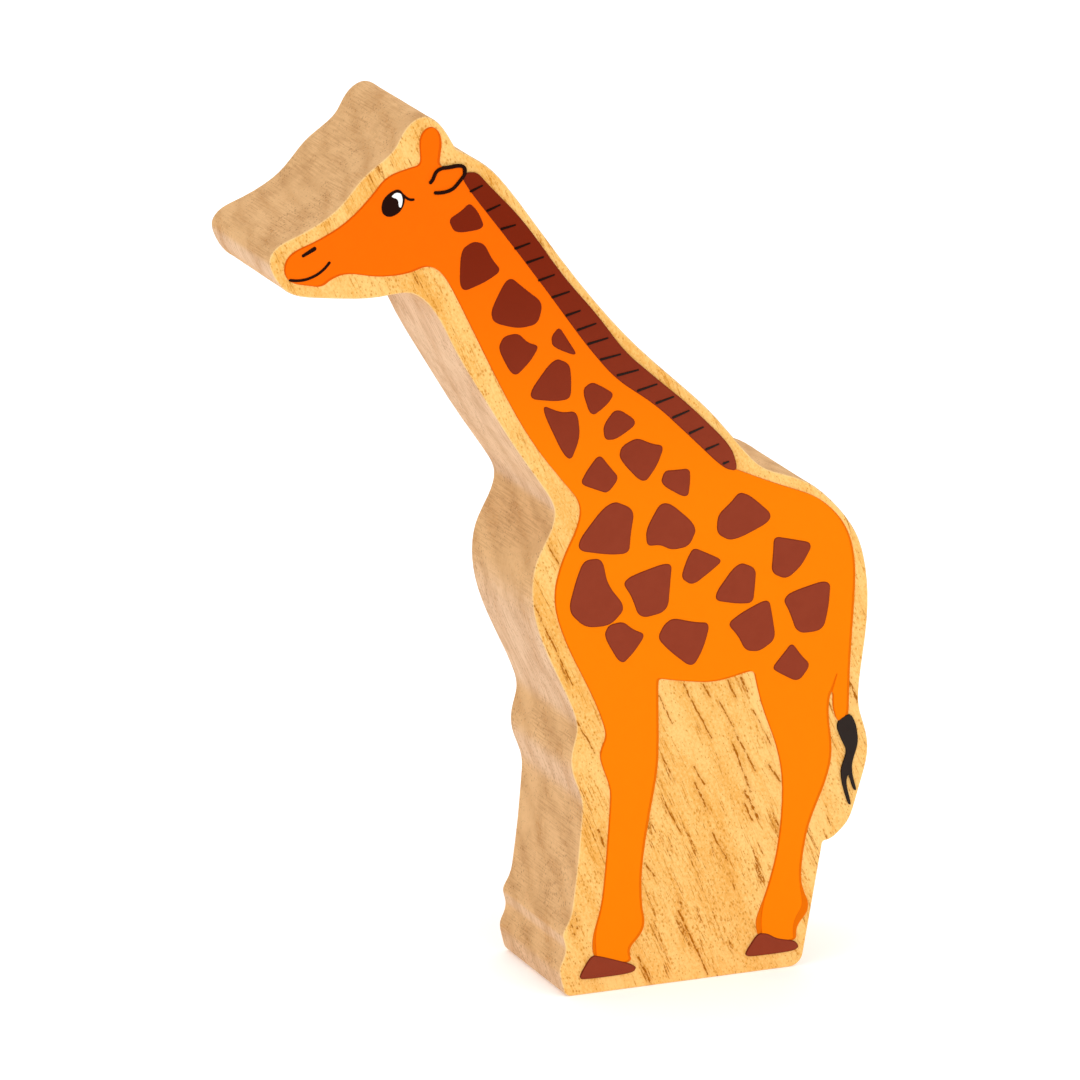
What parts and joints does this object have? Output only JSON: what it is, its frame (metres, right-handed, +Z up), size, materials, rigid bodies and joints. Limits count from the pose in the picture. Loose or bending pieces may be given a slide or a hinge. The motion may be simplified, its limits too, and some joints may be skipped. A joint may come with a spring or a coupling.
{
  "type": "wooden giraffe figure",
  "caption": "Chunky standing giraffe figure sawn from one thick board, with an orange coat, brown patches, mane, hooves and black features painted on both flat faces.",
  "frame": {"origin": "middle of the flat sole that the figure stands on", "axes": "+Z up, the animal looks towards -X, the board's thickness runs along Y and the left flank faces -Y"},
  "size_m": [0.0998, 0.0258, 0.1436],
  "materials": {
    "wood": "fine-sanded pale pine with warm yellow grain, unvarnished",
    "dark_orange_paint": "satin water-based paint",
    "orange_paint": "satin water-based paint",
    "brown_paint": "satin water-based paint",
    "black_paint": "satin water-based paint",
    "white_paint": "satin water-based paint"
  },
  "bodies": {
    "root": {"left_body_patches": "brown_paint", "left_ear_outline": "black_paint", "left_eye": "black_paint", "left_eye_glint": "white_paint", "left_fore_hoof": "brown_paint", "left_hind_hoof": "brown_paint", "left_mane": "brown_paint", "left_mane_strokes": "black_paint", "left_mouth": "black_paint", "left_neck_patches": "brown_paint", "left_nostril": "black_paint", "left_orange_topcoat": "orange_paint", "left_orange_undercoat": "dark_orange_paint", "left_tail_tuft": "black_paint", "right_body_patches": "brown_paint", "right_ear_outline": "black_paint", "right_eye": "black_paint", "right_eye_glint": "white_paint", "right_fore_hoof": "brown_paint", "right_hind_hoof": "brown_paint", "right_mane": "brown_paint", "right_mane_strokes": "black_paint", "right_mouth": "black_paint", "right_neck_patches": "brown_paint", "right_nostril": "black_paint", "right_orange_topcoat": "orange_paint", "right_orange_undercoat": "dark_orange_paint", "right_tail_tuft": "black_paint", "wood_block": "wood"}
  },
  "joints": []
}
